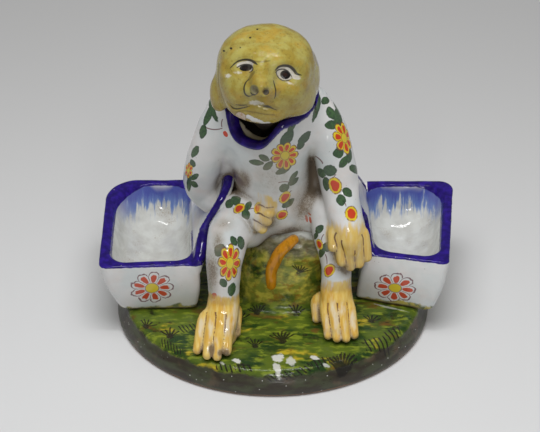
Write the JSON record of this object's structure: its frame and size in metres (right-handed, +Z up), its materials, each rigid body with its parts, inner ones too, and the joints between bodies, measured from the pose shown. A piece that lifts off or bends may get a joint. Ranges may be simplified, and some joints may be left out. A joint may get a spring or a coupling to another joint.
{
  "type": "figural condiment holder",
  "caption": "Seated monkey on a grassy oval plinth between open salt boxes, with a nodding head that lifts out of its neck.",
  "frame": {"origin": "under the middle of the whole object, on the table", "axes": "+X to the right as the monkey is faced, along the line of the two salts; +Y to the monkey's back; +Z up"},
  "size_m": [0.1829, 0.142, 0.169],
  "materials": {
    "white_glaze": "gloss",
    "blue_glaze": "gloss",
    "ochre_glaze": "gloss",
    "yellow_glaze": "gloss",
    "grass_glaze": "gloss",
    "biscuit": "matte",
    "iron": "matte"
  },
  "bodies": {
    "figure": {"base_plinth": "grass_glaze", "seat_mound": "grass_glaze", "body_pot": "white_glaze", "neck_lip": "blue_glaze", "right_leg": "white_glaze", "left_leg": "white_glaze", "right_foot": "yellow_glaze", "left_foot": "yellow_glaze", "right_arm": "white_glaze", "left_arm": "white_glaze", "right_hand": "yellow_glaze", "left_hand": "yellow_glaze", "tail": "yellow_glaze", "right_salt": "white_glaze", "left_salt": "white_glaze", "right_wing": "blue_glaze", "left_wing": "blue_glaze"},
    "pin": {"pivot_pin": "iron"},
    "head": {"head_shell": "ochre_glaze", "right_ear": "ochre_glaze", "left_ear": "ochre_glaze", "neck_stem": "biscuit", "counterweight": "iron"}
  },
  "joints": [
    {"name": "head_lift", "type": "slide", "parent": "figure", "child": "pin", "axis": [0, 0, 1], "range_m": [0, 0.065]},
    {"name": "head_nod", "type": "hinge", "parent": "pin", "child": "head", "pos_m": [-0.005, 0.0002, 0.1215], "axis": [1, 0, 0], "range_deg": [-7, 7]}
  ]
}
